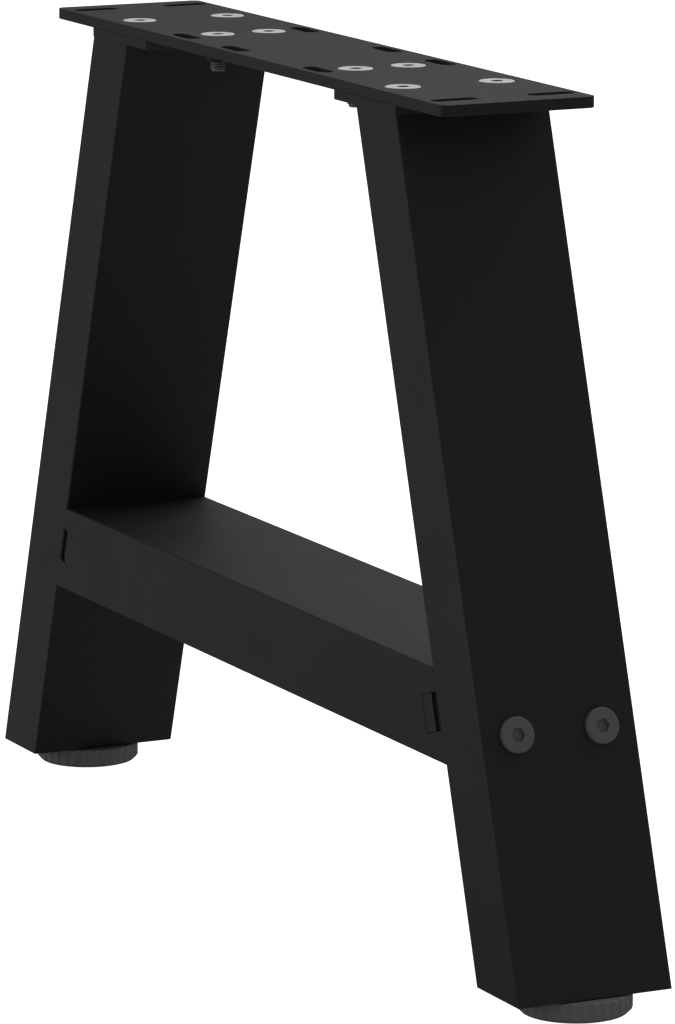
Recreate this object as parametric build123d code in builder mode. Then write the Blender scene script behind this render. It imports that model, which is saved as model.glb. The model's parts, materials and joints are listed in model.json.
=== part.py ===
from build123d import *
import os
from math import atan, cos, pi, sin, tan

# A trestle table leg: two leaning steel tubes under a slotted top plate, tied by a crossbeam and standing on
# two levelling feet. Millimetres. The origin is on the floor under the middle of the leg, with +X along the
# trestle towards its right leg, +Y from front to back and +Z up.
# The legs lean in a plane of symmetry, so each piece of the right leg has a mirrored twin on the left.

# Overall form
overall_height = 414.0
base_spread = 600.0
top_spread = 346.0
foot_gap = 10.0

# Tubes of the legs and of the crossbeam
tube_width = 80.0
tube_depth = 40.0
tube_wall = 1.5
tube_corner_radius = 1.0
tube_inner_radius = 0.5
beam_depth = 43.5
beam_underside = 108.0

# Top plate and its slots for the table top
plate_length = 440.0
plate_thickness = 5.5
plate_corner_radius = 4.0
plate_edge_break = 0.25
slot_length = 24.0
slot_width = 8.0
end_slot_inset = 17.0
end_slot_edge = 15.0
side_slot_spread = 150.0
side_slot_edge = 7.5
middle_slot_stagger = 17.5

# Flange welded on the head of each leg, with a tongue towards the middle of the plate
flange_thickness = 4.5
flange_inner_spread = 216.0
tongue_end_spread = 128.0
tongue_width = 44.0
tongue_corner_radius = 6.0

# Countersunk screws M8 from the top plate into round weld nuts on the flanges
screw_diameter = 8.0
screw_length = 18.5
screw_head_diameter = 17.0
screw_head_land = 0.4
screw_socket_flats = 5.0
screw_socket_depth = 3.0
screw_end_chamfer = 0.9
outer_screw_inset = 2.5
outer_screw_edge = 15.5
tongue_screw_inset = 14.0
tongue_screw_edge = 8.0
flange_hole_diameter = 9.0
nut_diameter = 11.5
nut_height = 3.5
nut_edge_break = 0.5

# Connector bolts M8 x 45 through each leg into the bracket in the end of the crossbeam
bolt_diameter = 8.0
bolt_length = 45.0
bolt_head_diameter = 17.0
bolt_head_thickness = 2.2
bolt_head_edge = 0.5
bolt_socket_flats = 6.0
bolt_socket_depth = 1.8
bolt_end_chamfer = 0.9
bolt_edge = 18.0
bolt_rise = 7.7
bolt_hole_diameter = 8.6

# Folded bracket in each end of the crossbeam, and the notches that its lugs show through
bracket_thickness = 4.0
bracket_arm_length = 18.0
notch_depth = 15.0
notch_height = 18.4
notch_rise = 2.5
lug_start = 5.2
lug_clearance = 0.25
lug_recess = 0.1

# Levelling feet M8
foot_plate_thickness = 4.0
foot_hole_diameter = 9.0
stud_diameter = 8.0
stud_length = 33.0
stud_end_chamfer = 0.9
foot_nut_flats = 13.0
foot_nut_height = 6.5
foot_nut_face = 12.4
foot_nut_corner = 0.8
pad_diameter = 54.0
pad_floor = 3.0
pad_lower_chamfer = 2.0
pad_upper_chamfer = 0.5
knurl_count = 32
knurl_cutter_radius = 2.2
knurl_depth = 0.7

# Clearances
thread_clearance = 0.05
countersink_clearance = 0.2
insert_clearance = 0.2
pad_top_clearance = 0.5
stud_seat_clearance = 0.1
overrun = 60.0

# Heights and slopes that follow from the sizes above
tube_top = overall_height - plate_thickness - flange_thickness
lean = atan((base_spread - top_spread) / 2 / (tube_top - foot_gap))
tube_run = tube_depth / cos(lean)
foot_spread = base_spread - tube_run
plate_width = tube_width
beam_middle = beam_underside + beam_depth / 2
notch_middle = beam_middle + notch_rise
bolt_height = beam_underside + bolt_rise + tube_depth * sin(lean)
bolt_pitch = tube_width - 2 * bolt_edge
pad_height = foot_gap - pad_top_clearance
inner_width = tube_width - 2 * tube_wall
inner_depth = tube_depth - 2 * tube_wall
beam_inner_depth = beam_depth - 2 * tube_wall
sides = {"right": 1, "left": -1}
rows = {"front": -1, "back": 1}


def outer_x(height):
    """Distance from the middle of the trestle to the outer face of a leg at a height."""
    return base_spread / 2 - (height - foot_gap) * tan(lean)


def inner_x(height):
    """Distance from the middle of the trestle to the inner face of a leg at a height."""
    return outer_x(height) - tube_run


def leg_section(side):
    """Plane across a leg at its foot: x points out of the trestle, z runs up the leg."""
    return Plane(
        origin=(side * foot_spread / 2, 0, foot_gap),
        x_dir=(side * cos(lean), 0, sin(lean)),
        z_dir=(-side * sin(lean), 0, cos(lean)),
    )


def leg_face(side, distance, y, height):
    """Plane on the face of a leg, with z pointing out of the trestle and x to the back."""
    return Plane(origin=(side * distance, y, height), x_dir=(0, 1, 0), z_dir=(side * cos(lean), 0, sin(lean)))


def profile_plane(seat):
    """Plane through the axis of a turned piece: x is its radius and y runs along the seat's normal."""
    return Plane(origin=seat.origin, x_dir=seat.x_dir, z_dir=-seat.y_dir)


def turned(seat, profile):
    """Revolves an outline of radius and height about the normal of its seat."""
    with BuildPart() as blank:
        with BuildSketch(profile_plane(seat)):
            with BuildLine():
                Polyline(*profile, close=True)
            make_face()
        revolve(axis=Axis(seat.origin, seat.z_dir))
    return blank.part


def hex_nut(seat, bore):
    """A hexagon nut that stands on its seat, with the corners of its free end turned off."""
    corner = foot_nut_flats / 2 / cos(pi / 6)
    outline = turned(
        seat,
        [
            (0, 0),
            (corner, 0),
            (corner, foot_nut_height - foot_nut_corner),
            (foot_nut_face / 2, foot_nut_height),
            (0, foot_nut_height),
        ],
    )
    with BuildPart() as nut:
        with BuildSketch(seat):
            RegularPolygon(radius=foot_nut_flats / 2, side_count=6, major_radius=False, rotation=30)
        extrude(amount=foot_nut_height)
        add(outline, mode=Mode.INTERSECT)
        with BuildSketch(seat):
            Circle(bore / 2)
        extrude(amount=foot_nut_height, mode=Mode.SUBTRACT)
    return nut.part


# Places of the screws: a pair over the middle of each leg's head and a pair out on each tongue
outer_screw = (top_spread / 2 - tube_run / 2 - outer_screw_inset, tube_width / 2 - outer_screw_edge)
inner_screw = (tongue_end_spread / 2 + tongue_screw_inset, tongue_width / 2 - tongue_screw_edge)
screw_places = {
    f"{side}_{end}_{row}": (sides[side] * x, rows[row] * y)
    for side in sides
    for row in rows
    for end, (x, y) in (("outer", outer_screw), ("inner", inner_screw))
}

os.makedirs("parts", exist_ok=True)

# Top plate: one flat bar with broken edges, ten slots for wood screws and eight countersunk holes
with BuildPart() as top_plate:
    with BuildSketch(Plane.XY.offset(overall_height)):
        RectangleRounded(plate_length, plate_width, plate_corner_radius)
    extrude(amount=-plate_thickness)
    chamfer(top_plate.edges().group_by(Axis.Z)[-1], length=plate_edge_break)
    chamfer(top_plate.edges().group_by(Axis.Z)[0], length=plate_edge_break)
    with BuildSketch(Plane.XY.offset(overall_height)):
        with GridLocations(plate_length - 2 * end_slot_inset, plate_width - 2 * end_slot_edge, 2, 2):
            SlotOverall(slot_length, slot_width, rotation=90)
        with GridLocations(side_slot_spread, plate_width - 2 * side_slot_edge, 2, 2):
            SlotOverall(slot_length, slot_width)
        with Locations(
            (-middle_slot_stagger, side_slot_edge - plate_width / 2),
            (middle_slot_stagger, plate_width / 2 - side_slot_edge),
        ):
            SlotOverall(slot_length, slot_width)
    extrude(amount=-plate_thickness, mode=Mode.SUBTRACT)
    with Locations(*[(x, y, overall_height) for x, y in screw_places.values()]):
        CounterSinkHole(
            radius=flange_hole_diameter / 2,
            counter_sink_radius=screw_head_diameter / 2 + screw_head_land + countersink_clearance,
            depth=plate_thickness,
            counter_sink_angle=90,
        )
top_plate.part.label = "top_plate"
export_step(top_plate.part, "parts/top_plate.step")

# Crossbeam: a tube on its side, mitred to the inner faces of both legs and notched for the bracket lugs
with BuildPart() as crossbeam:
    with BuildSketch(Plane.YZ.offset(-base_spread / 2)):
        with Locations((0, beam_middle)):
            RectangleRounded(tube_width, beam_depth, tube_corner_radius)
            RectangleRounded(inner_width, beam_inner_depth, tube_inner_radius, mode=Mode.SUBTRACT)
    extrude(amount=base_spread)
    for side in sides.values():
        split(bisect_by=leg_face(side, inner_x(beam_middle), 0, beam_middle), keep=Keep.BOTTOM)
        seat = leg_face(side, inner_x(notch_middle), 0, notch_middle)
        with BuildSketch(Plane(origin=seat.origin, x_dir=seat.z_dir, z_dir=(0, 1, 0))):
            Rectangle(2 * notch_depth, notch_height)
        extrude(amount=tube_width, both=True, mode=Mode.SUBTRACT)
crossbeam.part.label = "crossbeam"
export_step(crossbeam.part, "parts/crossbeam.step")

for side_name, side in sides.items():
    # Leg: a tube cut level at both ends and drilled through both faces for the connector bolts
    with BuildPart() as leg_tube:
        with BuildSketch(leg_section(side).offset(-overrun)):
            RectangleRounded(tube_depth, tube_width, tube_corner_radius)
            RectangleRounded(inner_depth, inner_width, tube_inner_radius, mode=Mode.SUBTRACT)
        extrude(amount=overall_height / cos(lean) + 2 * overrun)
        split(bisect_by=Plane.XY.offset(foot_gap), keep=Keep.TOP)
        split(bisect_by=Plane.XY.offset(tube_top), keep=Keep.BOTTOM)
        for row in rows.values():
            with BuildSketch(leg_face(side, outer_x(bolt_height), row * bolt_pitch / 2, bolt_height)):
                Circle(bolt_hole_diameter / 2)
            extrude(amount=-tube_depth, mode=Mode.SUBTRACT)
    leg_tube.part.label = f"leg_tube_{side_name}"
    export_step(leg_tube.part, f"parts/leg_tube_{side_name}.step")

    # Flange: a flat plate over the head of the leg that narrows to a tongue
    with BuildPart() as leg_flange:
        shoulder = (flange_inner_spread - tube_width + tongue_width) / 2
        with BuildSketch(Plane.XY.offset(tube_top)):
            with BuildLine():
                Polyline(
                    (side * top_spread / 2, -tube_width / 2),
                    (side * flange_inner_spread / 2, -tube_width / 2),
                    (side * shoulder, -tongue_width / 2),
                    (side * tongue_end_spread / 2, -tongue_width / 2),
                    (side * tongue_end_spread / 2, tongue_width / 2),
                    (side * shoulder, tongue_width / 2),
                    (side * flange_inner_spread / 2, tube_width / 2),
                    (side * top_spread / 2, tube_width / 2),
                    close=True,
                )
            make_face()
        extrude(amount=flange_thickness)
        tongue_end = leg_flange.faces().sort_by(Axis.X)[0 if side > 0 else -1]
        fillet(tongue_end.edges().filter_by(Axis.Z), radius=tongue_corner_radius)
        own_screws = [place for place in screw_places.values() if place[0] * side > 0]
        with Locations(*[(x, y, tube_top + flange_thickness) for x, y in own_screws]):
            Hole(radius=flange_hole_diameter / 2, depth=flange_thickness)
    leg_flange.part.label = f"leg_flange_{side_name}"
    export_step(leg_flange.part, f"parts/leg_flange_{side_name}.step")

    # Bracket: a folded strip whose web takes the bolts and whose arms lie along the walls of the crossbeam
    with BuildPart() as beam_bracket:
        face = leg_face(side, inner_x(beam_middle), 0, beam_middle)
        bracket_width = inner_width - 2 * insert_clearance
        arm_gap = bracket_width - 2 * bracket_thickness
        with BuildSketch(Plane.YZ):
            with Locations((0, beam_middle)):
                RectangleRounded(bracket_width, beam_inner_depth - 2 * insert_clearance, tube_inner_radius)
        extrude(amount=side * base_spread / 2)
        split(bisect_by=face, keep=Keep.BOTTOM)
        split(bisect_by=face.offset(-bracket_arm_length), keep=Keep.TOP)
        with BuildSketch(face.offset(-bracket_thickness)):
            Rectangle(arm_gap, 2 * beam_depth)
        extrude(amount=-bracket_arm_length, mode=Mode.SUBTRACT)
        lug_length = notch_depth - lug_clearance - lug_start
        for row in rows.values():
            seat = leg_face(side, inner_x(notch_middle), row * arm_gap / 2, notch_middle)
            with BuildSketch(Plane(origin=seat.origin, x_dir=seat.z_dir, z_dir=(0, row, 0))):
                with Locations((-lug_start - lug_length / 2, 0)):
                    Rectangle(lug_length, notch_height - 2 * lug_clearance)
            extrude(amount=tube_width / 2 - lug_recess - arm_gap / 2)
            with BuildSketch(leg_face(side, outer_x(bolt_height), row * bolt_pitch / 2, bolt_height)):
                Circle(bolt_diameter / 2 + thread_clearance)
            extrude(amount=-tube_depth - 2 * bracket_thickness, mode=Mode.SUBTRACT)
    beam_bracket.part.label = f"beam_bracket_{side_name}"
    export_step(beam_bracket.part, f"parts/beam_bracket_{side_name}.step")

    # Connector bolts: a thin flat head with a hexagon socket, and a plain shank that reaches the web
    for row_name, row in rows.items():
        seat = leg_face(side, outer_x(bolt_height), row * bolt_pitch / 2, bolt_height)
        blank = turned(
            seat,
            [
                (0, -bolt_length),
                (bolt_diameter / 2 - bolt_end_chamfer, -bolt_length),
                (bolt_diameter / 2, -bolt_length + bolt_end_chamfer),
                (bolt_diameter / 2, 0),
                (bolt_head_diameter / 2, 0),
                (bolt_head_diameter / 2, bolt_head_thickness - bolt_head_edge),
                (bolt_head_diameter / 2 - bolt_head_edge, bolt_head_thickness),
                (0, bolt_head_thickness),
            ],
        )
        with BuildPart() as connector_bolt:
            add(blank)
            with BuildSketch(seat.offset(bolt_head_thickness)):
                RegularPolygon(radius=bolt_socket_flats / 2, side_count=6, major_radius=False)
            extrude(amount=-bolt_socket_depth, mode=Mode.SUBTRACT)
        connector_bolt.part.label = f"connector_bolt_{side_name}_{row_name}"
        export_step(connector_bolt.part, f"parts/connector_bolt_{side_name}_{row_name}.step")

    # Foot plate: closes the lower end of the leg and carries the nut of the levelling foot
    foot_seat = Plane((side * foot_spread / 2, 0, foot_gap))
    with BuildPart() as foot_plate:
        with BuildSketch(leg_section(side).offset(-overrun)):
            RectangleRounded(
                inner_depth - 2 * insert_clearance,
                inner_width - 2 * insert_clearance,
                tube_inner_radius,
            )
        extrude(amount=2 * overrun)
        split(bisect_by=foot_seat, keep=Keep.TOP)
        split(bisect_by=foot_seat.offset(foot_plate_thickness), keep=Keep.BOTTOM)
        with BuildSketch(foot_seat):
            Circle(foot_hole_diameter / 2)
        extrude(amount=foot_plate_thickness, mode=Mode.SUBTRACT)
    foot_plate.part.label = f"foot_plate_{side_name}"
    export_step(foot_plate.part, f"parts/foot_plate_{side_name}.step")

    # Foot nut: welded on the foot plate inside the leg
    foot_nut = hex_nut(foot_seat.offset(foot_plate_thickness), stud_diameter + 2 * thread_clearance)
    foot_nut.label = f"foot_nut_{side_name}"
    export_step(foot_nut, f"parts/foot_nut_{side_name}.step")

    # Foot stud: runs in the foot nut, with its lower end in the pad
    stud_seat = Plane((side * foot_spread / 2, 0, pad_floor + stud_seat_clearance))
    foot_stud = turned(
        stud_seat,
        [
            (0, 0),
            (stud_diameter / 2, 0),
            (stud_diameter / 2, stud_length - stud_end_chamfer),
            (stud_diameter / 2 - stud_end_chamfer, stud_length),
            (0, stud_length),
        ],
    )
    foot_stud.label = f"foot_stud_{side_name}"
    export_step(foot_stud, f"parts/foot_stud_{side_name}.step")

    # Foot pad: a moulded disc with a knurled rim, turned by hand to level the table
    pad_seat = Plane((side * foot_spread / 2, 0, 0))
    pad_blank = turned(
        pad_seat,
        [
            (0, 0),
            (pad_diameter / 2 - pad_lower_chamfer, 0),
            (pad_diameter / 2, pad_lower_chamfer),
            (pad_diameter / 2, pad_height - pad_upper_chamfer),
            (pad_diameter / 2 - pad_upper_chamfer, pad_height),
            (0, pad_height),
        ],
    )
    with BuildPart() as foot_pad:
        add(pad_blank)
        with BuildSketch(pad_seat):
            with PolarLocations(pad_diameter / 2 + knurl_cutter_radius - knurl_depth, knurl_count):
                Circle(knurl_cutter_radius)
        extrude(amount=pad_height, mode=Mode.SUBTRACT)
        with BuildSketch(pad_seat.offset(pad_floor)):
            Circle(stud_diameter / 2 + thread_clearance)
        extrude(amount=pad_height - pad_floor, mode=Mode.SUBTRACT)
    foot_pad.part.label = f"foot_pad_{side_name}"
    export_step(foot_pad.part, f"parts/foot_pad_{side_name}.step")

# Plate screws and their round weld nuts: two beside each other over the leg and two out on the tongue
for place_name, (x, y) in screw_places.items():
    seat = Plane((x, y, overall_height))
    cone_end = -screw_head_land - (screw_head_diameter - screw_diameter) / 2
    blank = turned(
        seat,
        [
            (0, -screw_length),
            (screw_diameter / 2 - screw_end_chamfer, -screw_length),
            (screw_diameter / 2, -screw_length + screw_end_chamfer),
            (screw_diameter / 2, cone_end),
            (screw_head_diameter / 2, -screw_head_land),
            (screw_head_diameter / 2, 0),
            (0, 0),
        ],
    )
    with BuildPart() as plate_screw:
        add(blank)
        with BuildSketch(seat):
            RegularPolygon(radius=screw_socket_flats / 2, side_count=6, major_radius=False)
        extrude(amount=-screw_socket_depth, mode=Mode.SUBTRACT)
    plate_screw.part.label = f"plate_screw_{place_name}"
    export_step(plate_screw.part, f"parts/plate_screw_{place_name}.step")

    nut_seat = Plane((x, y, tube_top), x_dir=(1, 0, 0), z_dir=(0, 0, -1))
    weld_nut = turned(
        nut_seat,
        [
            (screw_diameter / 2 + thread_clearance, 0),
            (nut_diameter / 2, 0),
            (nut_diameter / 2, nut_height - nut_edge_break),
            (nut_diameter / 2 - nut_edge_break, nut_height),
            (screw_diameter / 2 + thread_clearance, nut_height),
        ],
    )
    weld_nut.label = f"weld_nut_{place_name}"
    export_step(weld_nut, f"parts/weld_nut_{place_name}.step")
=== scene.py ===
# %% [markdown]
# # A steel trestle table leg
#
# This lesson dresses one steel leg of a low table: two leaning box tubes under a slotted plate, a crossbeam between
# them and two levelling feet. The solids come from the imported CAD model, in metres, and are never changed. Blender
# adds what CAD leaves out: finishes, screw threads, weld seams, the thin lips at the crossbeam's joints, and light. The
# cells are meant to be read and run in order.

# %% Load the fixed frame
import json
from math import acos, asin, atan2, cos, pi, radians, sin, tan

import bmesh
import bpy
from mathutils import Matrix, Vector


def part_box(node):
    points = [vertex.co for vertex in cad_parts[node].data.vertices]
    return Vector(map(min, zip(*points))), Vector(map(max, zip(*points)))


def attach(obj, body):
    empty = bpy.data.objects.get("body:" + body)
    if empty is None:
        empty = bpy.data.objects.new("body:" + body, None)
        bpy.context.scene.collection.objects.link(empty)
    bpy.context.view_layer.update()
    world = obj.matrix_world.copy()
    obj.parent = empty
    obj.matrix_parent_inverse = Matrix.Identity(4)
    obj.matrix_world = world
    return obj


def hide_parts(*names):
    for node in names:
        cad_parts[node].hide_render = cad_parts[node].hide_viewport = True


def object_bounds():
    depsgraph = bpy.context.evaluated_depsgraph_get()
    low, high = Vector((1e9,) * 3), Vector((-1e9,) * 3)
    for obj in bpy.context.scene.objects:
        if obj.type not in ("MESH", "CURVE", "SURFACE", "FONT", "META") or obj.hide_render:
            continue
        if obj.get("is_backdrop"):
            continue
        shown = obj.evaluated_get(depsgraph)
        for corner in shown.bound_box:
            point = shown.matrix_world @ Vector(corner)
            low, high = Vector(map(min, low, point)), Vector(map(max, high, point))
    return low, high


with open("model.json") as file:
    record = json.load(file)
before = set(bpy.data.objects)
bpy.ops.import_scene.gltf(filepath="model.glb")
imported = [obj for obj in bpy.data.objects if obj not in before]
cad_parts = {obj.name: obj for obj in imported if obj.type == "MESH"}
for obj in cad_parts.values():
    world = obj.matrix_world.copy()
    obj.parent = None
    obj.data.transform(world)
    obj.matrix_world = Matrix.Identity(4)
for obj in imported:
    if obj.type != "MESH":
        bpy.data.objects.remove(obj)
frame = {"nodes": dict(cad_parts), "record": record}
cad_low, cad_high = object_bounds()
nodes = frame["nodes"]
print("CAD nodes:", len(nodes), "size in mm:", [round(1000 * x, 1) for x in cad_high - cad_low])

# %% [markdown]
# ## The camera
#
# The picture was taken from the right and a little above, from about three metres away with a long lens, which is
# why the leg's edges stay nearly parallel. Straight edges of the leg were matched to find the place and the lens.
# A camera with no roll needs only a place and a direction: the tracking quaternion points its -Z axis that way and
# keeps its Y axis up.

# %% Camera
scene = bpy.context.scene
camera_place = Vector((2.7008, -1.2983, 0.7722))
camera_direction = Vector((-0.88256, 0.42894, -0.19262))
camera = bpy.data.objects.new("camera", bpy.data.cameras.new("camera"))
camera.location = camera_place
camera.rotation_euler = camera_direction.to_track_quat("-Z", "Y").to_euler()
camera.data.lens = 216.99
camera.data.sensor_width = 36.0
camera.data.clip_end = 100.0
scene.collection.objects.link(camera)
scene.camera = camera
print("camera distance in m:", round((camera_place - (cad_low + cad_high) / 2).length, 2))

# %% [markdown]
# ## Helpers for colours, nodes and scales
#
# Paint charts give colours as sRGB hex values, but shader sockets take linear light, so one function converts them.
# Another adds a node, sets it and links it, which keeps each material below readable as a recipe. The third turns the
# real spacing of a pattern into the scale that a texture node asks for.


# %% Helpers for colours, nodes and scales
def linear(hex_colour):
    """An sRGB hex value such as #1A1B1C as a linear colour with full alpha."""
    channels = [int(hex_colour[i : i + 2], 16) / 255 for i in (1, 3, 5)]
    return [c / 12.92 if c <= 0.04045 else ((c + 0.055) / 1.055) ** 2.4 for c in channels] + [1.0]


def add_node(tree, kind, settings=None, links=None):
    """Adds a node. Settings go to the socket of that name, or else to the property; links bring outputs to sockets."""
    node = tree.nodes.new(kind)
    for key, value in (settings or {}).items():
        if isinstance(key, int) or key in node.inputs:
            node.inputs[key].default_value = value
        else:
            setattr(node, key, value)
    for socket, output in (links or {}).items():
        tree.links.new(output, node.inputs[socket])
    return node


def per_metre(millimetres):
    """Scale of a texture in object coordinates whose features are that far apart."""
    return 1000.0 / millimetres


print("black of the powder coat, linear:", [round(c, 4) for c in linear("#1E1E1E")[:3]])

# %% [markdown]
# ## The studio
#
# Black steel shows hardly any colour of its own: what the eye reads is the light that its faces mirror. A dim, even
# surround keeps the faces dark. The backdrop stays white for the camera, as in a catalogue cut-out. A white world would
# give both at once but wash out the steel, so a Light Path node tells the camera's rays from all others.

# %% Surround
surround_strength = 0.28
world = bpy.data.worlds.new("studio")
scene.world = world
world.use_nodes = True
tree = world.node_tree
tree.nodes.clear()
rays = add_node(tree, "ShaderNodeLightPath")
surround = add_node(tree, "ShaderNodeBackground", {"Color": linear("#F6F6F6"), "Strength": surround_strength})
backdrop = add_node(tree, "ShaderNodeBackground", {"Color": linear("#FFFFFF"), "Strength": 1.0})
seen = add_node(
    tree,
    "ShaderNodeMixShader",
    links={0: rays.outputs["Is Camera Ray"], 1: surround.outputs[0], 2: backdrop.outputs[0]},
)
add_node(tree, "ShaderNodeOutputWorld", links={"Surface": seen.outputs[0]})
scene.view_settings.view_transform = "Standard"
print("surround for the steel:", surround_strength)

# %% [markdown]
# ## The floor
#
# The feet screw down by 10 mm. On a real floor the leg would rise, but here the frame is what stands still, so a floor
# right under the pads would swallow them. It lies just below their lowest setting instead. White on white, that gap
# doesn't show, and the pads are in sight at every setting.

# %% Floor
floor_half = 6.0
floor_gap = 0.0002
foot_travel = max(j["range_m"][1] for j in frame["record"]["behaviour"]["joints"] if j["type"] == "slide")
floor_mesh = bpy.data.meshes.new("floor")
floor_corners = [(sx * floor_half, sy * floor_half, 0.0) for sx, sy in ((-1, -1), (1, -1), (1, 1), (-1, 1))]
floor_mesh.from_pydata(floor_corners, [], [(0, 1, 2, 3)])
floor = bpy.data.objects.new("floor", floor_mesh)
floor.location.z = -foot_travel - floor_gap
scene.collection.objects.link(floor)
floor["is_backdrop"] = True
print("floor:", 2 * floor_half, "m square, at", round(1000 * floor.location.z, 1), "mm")

# %% [markdown]
# ## White paper on the floor
#
# The floor is matt paper. To the camera it glows a little, so that it meets the backdrop without an edge. All other
# rays find it dimmer, which keeps its light from washing out the undersides of the beam and the plate.

# %% White paper
paper_glow = 0.95
paper = bpy.data.materials.new("white paper floor")
paper.use_nodes = True
tree = paper.node_tree
tree.nodes.clear()
rays = add_node(tree, "ShaderNodeLightPath")
dim_paper = add_node(tree, "ShaderNodeBsdfDiffuse", {"Color": linear("#C2C2C2")})
lit_paper = add_node(tree, "ShaderNodeBsdfDiffuse", {"Color": linear("#F2F2F2")})
glow = add_node(tree, "ShaderNodeEmission", {"Color": linear("#FFFFFF"), "Strength": paper_glow})
bright_paper = add_node(tree, "ShaderNodeAddShader", links={0: lit_paper.outputs[0], 1: glow.outputs[0]})
seen = add_node(
    tree,
    "ShaderNodeMixShader",
    links={0: rays.outputs["Is Camera Ray"], 1: dim_paper.outputs[0], 2: bright_paper.outputs[0]},
)
add_node(tree, "ShaderNodeOutputMaterial", links={"Surface": seen.outputs[0]})
floor_mesh.materials.append(paper)
print("floor paper:", paper.name)

# %% [markdown]
# ## Soft lights
#
# A wide soft light above and behind lifts every face that looks up, such as the plate and the top of the crossbeam, and
# a weaker one fills the narrow front faces. The first stands behind the plate, so the plate casts no shadow on the
# crossbeam below it. Small lamps or a sun would draw hard highlights that the satin coat of the real leg doesn't show.

# %% Lights
aim_point = Vector((0.0, 0.0, 0.2))


def soft_light(name, place, size, watts):
    """A square area light that looks at the middle of the leg."""
    lamp = bpy.data.lights.new(name, "AREA")
    lamp.size = size
    lamp.energy = watts
    holder = bpy.data.objects.new(name, lamp)
    holder.location = place
    holder.rotation_euler = (aim_point - holder.location).to_track_quat("-Z", "Y").to_euler()
    scene.collection.objects.link(holder)
    return holder


overhead = soft_light("overhead", place=(-0.8, 1.7, 2.7), size=2.2, watts=40.0)
front_fill = soft_light("front_fill", place=(-1.2, -3.3, 1.0), size=1.8, watts=15.0)
for lamp in (overhead, front_fill):
    print(lamp.name, lamp.data.energy, "W")

# %% [markdown]
# ## What all the finishes share
#
# Each material starts as one shader and one output. Patterns are laid out in object coordinates, which are metres in
# the frame of the leg and stay with a part when it moves. UV maps would need unwrapping and would stretch at the
# corners of the solids. A noise seldom leaves the middle of its range, so the gloss is mapped from there. The Mix node
# has sockets of one name for each kind of value, so its two colours and their result go by number.

# %% Shared parts of the materials
noise_low = 0.3
noise_high = 0.7
mix_first = 6
mix_second = 7
mix_result = 2
bevel_samples = 6


def start_material(name):
    """An empty node material, with a shader and an output to build on."""
    material = bpy.data.materials.new(name)
    material.use_nodes = True
    tree = material.node_tree
    tree.nodes.clear()
    shader = add_node(tree, "ShaderNodeBsdfPrincipled")
    add_node(tree, "ShaderNodeOutputMaterial", links={"Surface": shader.outputs[0]})
    return material, tree, shader


print("roughness follows a noise from", noise_low, "to", noise_high)

# %% [markdown]
# ## Powder-coated steel
#
# The tubes, the plate, the flanges and the brackets are welded or folded mild steel, blasted and then powder coated
# in satin black. Powder is sprayed on dry and melts in an oven, so the film is thick and soft at the edges and keeps
# a faint orange peel. It is a polymer, not a metal, so metallic is 0. A plain polyester film has an IOR near 1.5; the
# matting wax in this one weakens its gloss, so the IOR was matched down to 1.42, with a roughness between silk and
# matt. A photographed scratch map could give the same look, but noise at real sizes never repeats and never blurs.
# Two noises do it: slow waves of peel and a finer grain. A Bevel node rounds the light on each edge as the film does.

# %% Powder coat
coat_ior = 1.42
coat_cloud = 38.0  # mm between thicker and thinner patches of the film
peel_spacing = 2.6  # mm between the waves of orange peel, as on the real coat
grain_spacing = 0.7  # mm; the real grain is about 0.2 mm, drawn coarser because a pixel covers 0.5 mm
peel_height = 0.00015  # metres, as all heights and radii in the materials
grain_height = 0.00008
coat_gloss_spread = 0.035


def powder_coat(name, base_hex, worn_hex, roughness, edge_radius=0.0004):
    """Satin powder coat: thick soft film, faint orange peel, fine grain, slightly uneven gloss."""
    material, tree, shader = start_material(name)
    place = add_node(tree, "ShaderNodeTexCoord").outputs["Object"]
    shader.inputs["IOR"].default_value = coat_ior
    patches = {"Scale": per_metre(coat_cloud), "Detail": 3.0, "Roughness": 0.55}
    cloud = add_node(tree, "ShaderNodeTexNoise", patches, {"Vector": place})
    tint = add_node(
        tree,
        "ShaderNodeMix",
        {"data_type": "RGBA", mix_first: linear(base_hex), mix_second: linear(worn_hex)},
        {"Factor": cloud.outputs["Fac"]},
    )
    tree.links.new(tint.outputs[mix_result], shader.inputs["Base Color"])
    gloss_range = {"To Min": roughness - coat_gloss_spread, "To Max": roughness + coat_gloss_spread}
    gloss = add_node(
        tree,
        "ShaderNodeMapRange",
        {"From Min": noise_low, "From Max": noise_high, **gloss_range},
        {"Value": cloud.outputs["Fac"]},
    )
    tree.links.new(gloss.outputs[0], shader.inputs["Roughness"])
    peel = add_node(tree, "ShaderNodeTexNoise", {"Scale": per_metre(peel_spacing), "Detail": 1.0}, {"Vector": place})
    grain = add_node(tree, "ShaderNodeTexNoise", {"Scale": per_metre(grain_spacing), "Detail": 2.0}, {"Vector": place})
    soft_edge = add_node(tree, "ShaderNodeBevel", {"samples": bevel_samples, "Radius": edge_radius})
    waves = add_node(
        tree,
        "ShaderNodeBump",
        {"Strength": 0.16, "Distance": peel_height},
        {"Height": peel.outputs["Fac"], "Normal": soft_edge.outputs[0]},
    )
    grit = add_node(
        tree,
        "ShaderNodeBump",
        {"Strength": 0.22, "Distance": grain_height},
        {"Height": grain.outputs["Fac"], "Normal": waves.outputs[0]},
    )
    tree.links.new(grit.outputs[0], shader.inputs["Normal"])
    return material


satin_black = powder_coat("satin black powder coat", "#1E1E1E", "#222222", 0.55)
lip_black = powder_coat("satin black powder coat on thin lips", "#1E1E1E", "#222222", 0.55, edge_radius=0.00005)
nut_black = powder_coat("black powder coat on forged nuts", "#212121", "#262626", 0.58)
print("powder coats:", satin_black.name, "and", nut_black.name)

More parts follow.
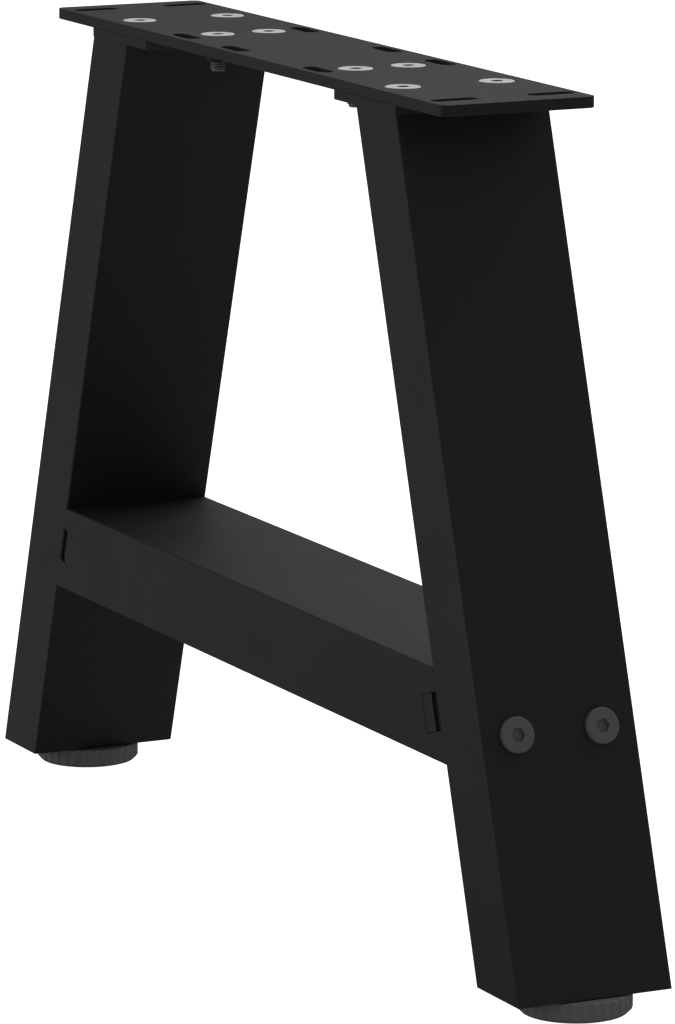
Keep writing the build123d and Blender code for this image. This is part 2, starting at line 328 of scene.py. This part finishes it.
# %% [markdown]
# ## Zinc plate
#
# The countersunk screws and the studs are carbon steel with a zinc plate a few micrometres thick. Bare zinc would be
# metallic 1, and from this low camera it would mirror the dim surround. The heads are evenly pale instead, because a
# matt passivate film lies on them and scatters the light, so metallic was matched down to 0.15 and the IOR keeps its
# default. The film is a little uneven, which the eye reads as a soft, cloudy silver. The threads of the screws get a
# darker copy of the zinc as painted shade, and the sockets an even darker one as painted shade in their recesses.

# %% Zinc plate
zinc_metallic = 0.15
zinc_cloud = 3.2  # mm between brighter and duller patches of the passivate film
scratch_spacing = 0.5  # mm; real handling marks are under 0.1 mm apart, drawn as coarse as they need to show
scratch_depth = 0.00005
zinc_edge_radius = 0.00025
zinc_gloss_spread = 0.06


def zinc_plate(name, light_hex, dark_hex, roughness):
    """Zinc on steel under a matt film: cloudy silver with uneven gloss and fine scratches."""
    material, tree, shader = start_material(name)
    place = add_node(tree, "ShaderNodeTexCoord").outputs["Object"]
    shader.inputs["Metallic"].default_value = zinc_metallic
    patches = {"Scale": per_metre(zinc_cloud), "Detail": 4.0, "Roughness": 0.6}
    cloud = add_node(tree, "ShaderNodeTexNoise", patches, {"Vector": place})
    tint = add_node(
        tree,
        "ShaderNodeMix",
        {"data_type": "RGBA", mix_first: linear(dark_hex), mix_second: linear(light_hex)},
        {"Factor": cloud.outputs["Fac"]},
    )
    tree.links.new(tint.outputs[mix_result], shader.inputs["Base Color"])
    gloss_range = {"To Min": roughness - zinc_gloss_spread, "To Max": roughness + zinc_gloss_spread}
    gloss = add_node(
        tree,
        "ShaderNodeMapRange",
        {"From Min": noise_low, "From Max": noise_high, **gloss_range},
        {"Value": cloud.outputs["Fac"]},
    )
    tree.links.new(gloss.outputs[0], shader.inputs["Roughness"])
    scratch = add_node(
        tree, "ShaderNodeTexNoise", {"Scale": per_metre(scratch_spacing), "Detail": 3.0}, {"Vector": place}
    )
    soft_edge = add_node(tree, "ShaderNodeBevel", {"samples": bevel_samples, "Radius": zinc_edge_radius})
    marks = add_node(
        tree,
        "ShaderNodeBump",
        {"Strength": 0.2, "Distance": scratch_depth},
        {"Height": scratch.outputs["Fac"], "Normal": soft_edge.outputs[0]},
    )
    tree.links.new(marks.outputs[0], shader.inputs["Normal"])
    return material


bright_zinc = zinc_plate("bright zinc plated steel", "#FFFFFF", "#F4F4F4", 0.42)
# A darker copy of the zinc paints the shade on the screw threads under the plate.
thread_zinc_painted_shade = zinc_plate("zinc with painted shade on the threads", "#8E8E8E", "#6E6E6E", 0.5)
# An even darker copy of the zinc paints the shade in the recesses of the hexagon sockets.
socket_zinc_painted_shade = zinc_plate("zinc with painted shade in the sockets", "#4A4A4A", "#3A3A3A", 0.6)
print("zinc:", bright_zinc.name, "and", thread_zinc_painted_shade.name, "and", socket_zinc_painted_shade.name)

# %% [markdown]
# ## Dark bolts and moulded feet
#
# The flat heads of the connector bolts are grey: phosphated steel under a thin lacquer, clearly lighter than the tube.
# The recipe of the powder coat serves them too, with a paler tint and more gloss. The pads of the feet are
# injection-moulded nylon, grey and matt. Their mould is eroded by sparks, which leaves round pebbles side by side. A
# noise would give drifting lumps, so the pebbles come from a texture of cells, as the distance from each cell's middle.

# %% Bolts and feet
bolt_grey = powder_coat("dark grey lacquered bolt", "#666666", "#6E6E6E", 0.46)
nylon_ior = 1.53
mottle_spacing = 6.0  # mm between the paler patches, where the melt flowed
pebble_spacing = 0.6  # mm; a real eroded grain is 0.1 to 0.2 mm, drawn as coarse as it needs to show
pebble_height = 0.00006
nylon_edge_radius = 0.0003


def moulded_nylon(name, base_hex, light_hex, roughness):
    """Glass-filled nylon from an eroded mould: matt, slightly mottled, with a fine pebble grain."""
    material, tree, shader = start_material(name)
    place = add_node(tree, "ShaderNodeTexCoord").outputs["Object"]
    shader.inputs["IOR"].default_value = nylon_ior
    shader.inputs["Roughness"].default_value = roughness
    mottle = add_node(
        tree, "ShaderNodeTexNoise", {"Scale": per_metre(mottle_spacing), "Detail": 4.0}, {"Vector": place}
    )
    tint = add_node(
        tree,
        "ShaderNodeMix",
        {"data_type": "RGBA", mix_first: linear(base_hex), mix_second: linear(light_hex)},
        {"Factor": mottle.outputs["Fac"]},
    )
    tree.links.new(tint.outputs[mix_result], shader.inputs["Base Color"])
    pebble = add_node(tree, "ShaderNodeTexVoronoi", {"Scale": per_metre(pebble_spacing)}, {"Vector": place})
    soft_edge = add_node(tree, "ShaderNodeBevel", {"samples": bevel_samples, "Radius": nylon_edge_radius})
    grain = add_node(
        tree,
        "ShaderNodeBump",
        {"Strength": 0.25, "Distance": pebble_height},
        {"Height": pebble.outputs["Distance"], "Normal": soft_edge.outputs[0]},
    )
    tree.links.new(grain.outputs[0], shader.inputs["Normal"])
    return material


pad_nylon = moulded_nylon("moulded grey nylon", "#707070", "#7A7A7A", 0.55)
print("bolts and pads:", bolt_grey.name, "and", pad_nylon.name)

# %% [markdown]
# ## Finishes for the CAD solids
#
# The record says which slot each node takes its finish from. Solids that are right as they are keep their mesh and
# only get a material, so the hidden pieces inside the tubes are finished as carefully as those in sight.

# %% Give every CAD node its finish
finish_of_slot = {
    "black_steel": satin_black,
    "zinc_screws": bright_zinc,
    "weld_nuts": nut_black,
    "dark_bolts": bolt_grey,
    "foot_plastic": pad_nylon,
}
slot_of_node = {row["node"]: row["material_slot"] for row in frame["record"]["subparts"]}
for name, node in nodes.items():
    node.data.materials.clear()
    node.data.materials.append(finish_of_slot[slot_of_node[name]])
print("finished nodes:", len(nodes))

# %% [markdown]
# ## Screws with real threads
#
# The CAD model keeps each screw as a plain cylinder, because a helix is costly there and nothing depends on it. Here
# it is a mesh: a countersunk M8 head with a hexagon socket, and a shank with a rolled thread of 1.25 mm pitch. A screw
# modifier could sweep a profile, but a grid whose rows climb with the angle is exact: once round, a row has risen by
# one pitch and meets the row four places above it. The ends are cut level by clamping the heights. Sizes are in
# millimetres from here on, and the vertices in metres.

# %% Rings around an axis
ring_count = 36
ring_angles = [2 * pi * i / ring_count for i in range(ring_count)]


def hexagon_radius(flats, angle):
    """Distance from the middle of a hexagon to its edge, in the direction of the angle."""
    turn = (angle + pi / 6) % (pi / 3) - pi / 6
    return flats / 2 / cos(turn)


def ring(mesh, radius, height, flats=None):
    """One ring of vertices in millimetres: a circle, or a hexagon where its width across flats is given."""
    radii = [hexagon_radius(flats, a) if flats else radius for a in ring_angles]
    return [mesh.verts.new((r * cos(a) / 1000, r * sin(a) / 1000, height / 1000)) for r, a in zip(radii, ring_angles)]


def join_rings(mesh, rings, first_rings, first_finish):
    """Faces between neighbouring rings and a cap at each end; the first few rows take a finish of their own."""
    for row, (low, high) in enumerate(zip(rings, rings[1:])):
        for i in range(ring_count):
            k = (i + 1) % ring_count
            face = mesh.faces.new((low[i], low[k], high[k], high[i]))
            face.material_index = first_finish if row < first_rings else 0
    mesh.faces.new(list(reversed(rings[0]))).material_index = first_finish
    mesh.faces.new(rings[-1])


print("points in a ring:", ring_count)

# %% A rolled thread
thread_pitch = 1.25
thread_core = 3.3
thread_crest = 4.0
thread_end = 3.05
chamfer_slope = 0.9
same_point = 1e-6  # metres; clamped rows lie on each other at the ends, and are merged
# Share of the pitch climbed and radius there: both edges of the root, then both edges of the crest.
thread_rows = ((0.0, thread_core), (0.22, thread_core), (0.5, thread_crest), (0.68, thread_crest))


def add_thread(mesh, low, high, finish_index):
    """A helical thread between two heights in millimetres, with a chamfer at each end, in a mesh that is empty."""
    rows = []
    for step in range(-1, int((high - low) / thread_pitch) + 3):
        for share, radius in thread_rows:
            row = []
            for a in ring_angles:
                level = min(max(low + (step + share + a / (2 * pi)) * thread_pitch, low), high)
                below = thread_end + chamfer_slope * (level - low)
                above = thread_end + chamfer_slope * (high - level)
                reach = min(radius, below, above)
                row.append(mesh.verts.new((reach * cos(a) / 1000, reach * sin(a) / 1000, level / 1000)))
            rows.append(row)
    lift = len(thread_rows)
    for j in range(len(rows) - 1 - lift):
        for i in range(ring_count):
            k = (i + 1) % ring_count
            up = lift if k == 0 else 0
            mesh.faces.new((rows[j][i], rows[j + up][k], rows[j + up + 1][k], rows[j + 1][i]))
    spent = [v for row in rows[-lift:] for v in row if not v.link_faces]
    bmesh.ops.delete(mesh, geom=spent, context="VERTS")
    bmesh.ops.remove_doubles(mesh, verts=mesh.verts, dist=same_point)
    bmesh.ops.dissolve_degenerate(mesh, dist=same_point / 10, edges=mesh.edges)
    open_edges = [e for e in mesh.edges if e.is_boundary]
    bmesh.ops.holes_fill(mesh, edges=open_edges, sides=0)
    for face in mesh.faces:
        face.material_index = finish_index


print("thread:", thread_pitch, "mm pitch,", 2 * thread_crest, "mm over the crests")

# %% From mesh to piece
body_of_node = {node: body for body, held in frame["record"]["behaviour"]["bodies"].items() for node in held}


def finish_piece(name, mesh, finishes, place, body, sharp_degrees=32):
    """Turns a bmesh into a piece that rides on a body."""
    bmesh.ops.recalc_face_normals(mesh, faces=mesh.faces)
    data = bpy.data.meshes.new(name)
    mesh.to_mesh(data)
    mesh.free()
    for finish in finishes:
        data.materials.append(finish)
    data.shade_smooth()
    data.set_sharp_from_angle(angle=radians(sharp_degrees))
    piece = bpy.data.objects.new(name, data)
    piece.location = place
    scene.collection.objects.link(piece)
    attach(piece, body)
    return piece


print("bodies:", sorted(set(body_of_node.values())))

# %% Countersunk screws in the plate
socket_flats = 5.0
socket_depth = 3.0
socket_tip = 0.9  # depth of the drill's cone below the hexagon
socket_tip_radius = 0.5
socket_chamfer_depth = 0.2
socket_chamfer_width = 0.45
rim_depth = 0.2
rim_width = 0.25
head_land = 0.4  # height of the plain edge of the head
shank_end = 0.25  # these three are depths below the cone of the head
thread_start = 0.6
run_out_end = 0.75
# This many rows of the head, from the bottom of the socket up, take the zinc with painted shade.
socket_rows = 3
# The second finish paints shade on the threads, the third paints shade in the hexagon sockets.
screw_finishes = (bright_zinc, thread_zinc_painted_shade, socket_zinc_painted_shade)
for name in [n for n in nodes if n.startswith("plate_screw_")]:
    low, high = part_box(name)
    head_radius = 1000 * (high.x - low.x) / 2
    length = 1000 * (high.z - low.z)
    neck = -head_land - head_radius + thread_crest
    mesh = bmesh.new()
    add_thread(mesh, -length, neck - thread_start, screw_finishes.index(thread_zinc_painted_shade))
    join_rings(
        mesh,
        [
            ring(mesh, socket_tip_radius, -socket_depth - socket_tip),
            ring(mesh, 0, -socket_depth, socket_flats),
            ring(mesh, 0, -socket_chamfer_depth, socket_flats),
            ring(mesh, socket_flats / 2 + socket_chamfer_width, 0),
            ring(mesh, head_radius - rim_width, 0),
            ring(mesh, head_radius, -rim_depth),
            ring(mesh, head_radius, -head_land),
            ring(mesh, thread_crest, neck),
            ring(mesh, thread_crest, neck - shank_end),
            ring(mesh, thread_core, neck - run_out_end),
        ],
        socket_rows,
        screw_finishes.index(socket_zinc_painted_shade),
    )
    place = ((low.x + high.x) / 2, (low.y + high.y) / 2, high.z)
    screw = finish_piece(name.replace("plate", "threaded"), mesh, screw_finishes, place, "frame")
    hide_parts(name)
print("screws: head", round(2 * head_radius, 1), "mm, length", round(length, 1), "mm")

# %% Threaded studs of the feet
for name in [n for n in nodes if n.startswith("foot_stud_")]:
    low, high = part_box(name)
    mesh = bmesh.new()
    add_thread(mesh, 0.0, 1000 * (high.z - low.z), 0)
    place = ((low.x + high.x) / 2, (low.y + high.y) / 2, low.z)
    stud_name = name.replace("foot", "threaded")
    stud = finish_piece(stud_name, mesh, (bright_zinc,), place, body_of_node[name])
    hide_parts(name)
print("studs:", round(1000 * (high.z - low.z), 1), "mm long")

# %% [markdown]
# ## Weld seams under the flanges
#
# Each flange is welded to the inner face of its tube, and each round nut to its flange, before the powder goes on, so
# the seams are black and softened by the coat. A seam is a fillet whose surface is a row of small overlapping
# crescents, left by the pool of metal as it moved on. A bevelled curve would be too even, so the bead is a swept
# section whose size and bulge change with each crescent.

# %% Weld beads
bead_points = 7
bead_root = 0.15  # mm that the bead reaches behind its corner, so that no gap shows
bead_start = 0.35  # width at its two ends; this and the next two are shares of the bead's size
bead_crown = 0.16
crescent_height = 0.1
crescent_lag = 0.6  # share of a ripple by which the edges of the bead follow its middle
crescent_fall = 0.6  # a power below 1 keeps each crescent full until its steep end
bead_sharp_degrees = 50


def weld_bead(name, corners, size, ripple, closed=False):
    """A weld along frames of (corner, direction along one face, direction along the other), in millimetres."""
    mesh = bmesh.new()
    sections = []
    travelled = 0.0
    total = sum((b[0] - a[0]).length for a, b in zip(corners, corners[1:]))
    for i, (corner, along_a, along_b) in enumerate(corners):
        if i:
            travelled += (corner - corners[i - 1][0]).length
        ends = 1.0 if closed else min(1.0, bead_start + min(travelled, total - travelled) / (2 * size))
        outward = (along_a + along_b).normalized()
        section = [mesh.verts.new((corner - bead_root * outward) / 1000)]
        for j in range(bead_points):
            t = j / (bead_points - 1)
            crescent = (travelled / ripple + crescent_lag * (1 - (2 * t - 1) ** 2)) % 1.0
            swell = crescent_height * size * (1 - crescent) ** crescent_fall * sin(pi * t)
            bulge = bead_crown * size * ends * sin(pi * t) + swell
            flat = corner + size * ends * ((1 - t) * along_a + t * along_b)
            section.append(mesh.verts.new((flat + outward * bulge) / 1000))
        sections.append(section)
    pairs = list(zip(sections, sections[1:])) + ([(sections[-1], sections[0])] if closed else [])
    for low, high in pairs:
        for j in range(bead_points + 1):
            k = (j + 1) % (bead_points + 1)
            mesh.faces.new((low[j], low[k], high[k], high[j]))
    if not closed:
        mesh.faces.new(sections[0])
        mesh.faces.new(list(reversed(sections[-1])))
    finish_piece(name, mesh, (satin_black,), (0, 0, 0), "frame", bead_sharp_degrees)


print("points across a bead:", bead_points)

# %% The lean of the legs
level_tolerance = 1e-5  # metres
tube_low, tube_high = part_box("leg_tube_right")
tube_points = nodes["leg_tube_right"].data.vertices
head_x = [1000 * v.co.x for v in tube_points if v.co.z > tube_high.z - level_tolerance]
foot_x = [1000 * v.co.x for v in tube_points if v.co.z < tube_low.z + level_tolerance]
head_z = 1000 * tube_high.z
half_width = 1000 * tube_high.y
lean = atan2(max(foot_x) - max(head_x), head_z - 1000 * tube_low.z)


def inner_face(side, height):
    """The point on the inner face of a leg at that height, in the middle of its width, in millimetres."""
    return Vector((side * (min(head_x) + (head_z - height) * tan(lean)), 0.0, height))


def down_leg(side):
    """The direction down along a leg."""
    return Vector((side * sin(lean), 0.0, -cos(lean)))


print("lean in degrees:", round(lean * 180 / pi, 2))

# %% Seams along the heads of the tubes
seam_size = 2.6
seam_ripple = 1.5
seam_steps = 180
seam_inset = 2.0
half_seam = half_width - seam_inset
for side_name, side in (("left", -1), ("right", 1)):
    under_flange = Vector((-side, 0.0, 0.0))
    corners = []
    for i in range(seam_steps + 1):
        across = Vector((0.0, half_seam * (2 * i / seam_steps - 1), 0.0))
        corners.append((inner_face(side, head_z) + across, under_flange, down_leg(side)))
    weld_bead(f"head_seam_{side_name}", corners, seam_size, seam_ripple)
print("head seams:", round(2 * half_seam, 1), "mm long")

# %% Seams around the round nuts
nut_seam_size = 0.9
nut_seam_ripple = 0.8
nut_seam_steps = 90
nut_names = [n for n in nodes if n.startswith("weld_nut_")]
for name in nut_names:
    low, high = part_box(name)
    middle = 1000 * (low + high) / 2
    radius = 1000 * (high.x - low.x) / 2
    corners = []
    for i in range(nut_seam_steps):
        turn = 2 * pi * i / nut_seam_steps
        out = Vector((cos(turn), sin(turn), 0.0))
        corner = Vector((middle.x, middle.y, 1000 * high.z)) + radius * out
        corners.append((corner, out, Vector((0.0, 0.0, -1.0))))
    weld_bead(name.replace("weld_nut", "nut_seam"), corners, nut_seam_size, nut_seam_ripple, closed=True)
print("nut seams:", len(nut_names))

# %% [markdown]
# ## Lips that close the joints of the crossbeam
#
# The legs have rounded corners, so a beam cut off flat would show a dark groove down the front of each joint. The
# photograph shows none: the laser that cuts the beam leaves a thin lip on its front and back walls, which follows the
# corner of the leg and closes the joint to a hairline, except at the notch. A boolean cut could shape the lip, but its
# section is only a square corner less an arc, so a prism between two such sections is plainer and exact. The bevel of
# its coat is smaller than the lip, or the shading would round it away.

# %% Section of a lip
corner_radius = 1.0
lip_clearance = 0.03
lip_recess = 0.01
lip_points = 8
lip_arc = corner_radius + lip_clearance
arc_start = acos(corner_radius / lip_arc)
arc_end = asin((corner_radius - lip_recess) / lip_arc)
lip_section = [(0.0, lip_recess)]
for i in range(lip_points + 1):
    angle = arc_start + (arc_end - arc_start) * i / lip_points
    lip_section.append((corner_radius - lip_arc * cos(angle), corner_radius - lip_arc * sin(angle)))
print("points round a lip:", len(lip_section))

# %% Lips of the crossbeam
notch_middle = 132.25  # height of the middle of the notch in the CAD model
notch_height = 18.4  # its length down the leg
beam_low, beam_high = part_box("crossbeam")
# Each lip runs from one reach to another, measured down the leg from the middle of the notch.
above_notch = (-(1000 * beam_high.z - notch_middle) / cos(lean) + corner_radius, -notch_height / 2)
below_notch = (notch_height / 2, (notch_middle - 1000 * beam_low.z) / cos(lean) - corner_radius)


def lip_end(mesh, side, row, reach):
    """One end of a lip: its section, square to the leg."""
    into_leg = Vector((side * cos(lean), 0.0, sin(lean)))
    middle = inner_face(side, notch_middle) + reach * down_leg(side)
    return [
        mesh.verts.new((middle + a * into_leg + Vector((0.0, row * (half_width - b), 0.0))) / 1000)
        for a, b in lip_section
    ]


for side_name, side in (("left", -1), ("right", 1)):
    for row_name, row in (("front", -1), ("back", 1)):
        mesh = bmesh.new()
        for start, end in (above_notch, below_notch):
            top = lip_end(mesh, side, row, start)
            bottom = lip_end(mesh, side, row, end)
            for i in range(len(lip_section)):
                k = (i + 1) % len(lip_section)
                mesh.faces.new((top[i], top[k], bottom[k], bottom[i]))
            mesh.faces.new(top)
            mesh.faces.new(list(reversed(bottom)))
        finish_piece(f"beam_lip_{side_name}_{row_name}", mesh, (lip_black,), (0, 0, 0), "frame")
print("lips:", round(above_notch[1] - above_notch[0], 1), "and", round(below_notch[1] - below_notch[0], 1), "mm long")

# %% [markdown]
# ## The size
#
# The pieces that this lesson added lie within the solids' box, so the dressed leg is as large as the CAD model. The box
# of what is rendered is measured again, and its largest difference from the solids' box is printed.

# %% Compare the sizes and finish
seen_low, seen_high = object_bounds()
differences = [abs(1000 * (a - b)) for a, b in zip([*cad_low, *cad_high], [*seen_low, *seen_high])]
print("largest difference in mm:", max(differences))
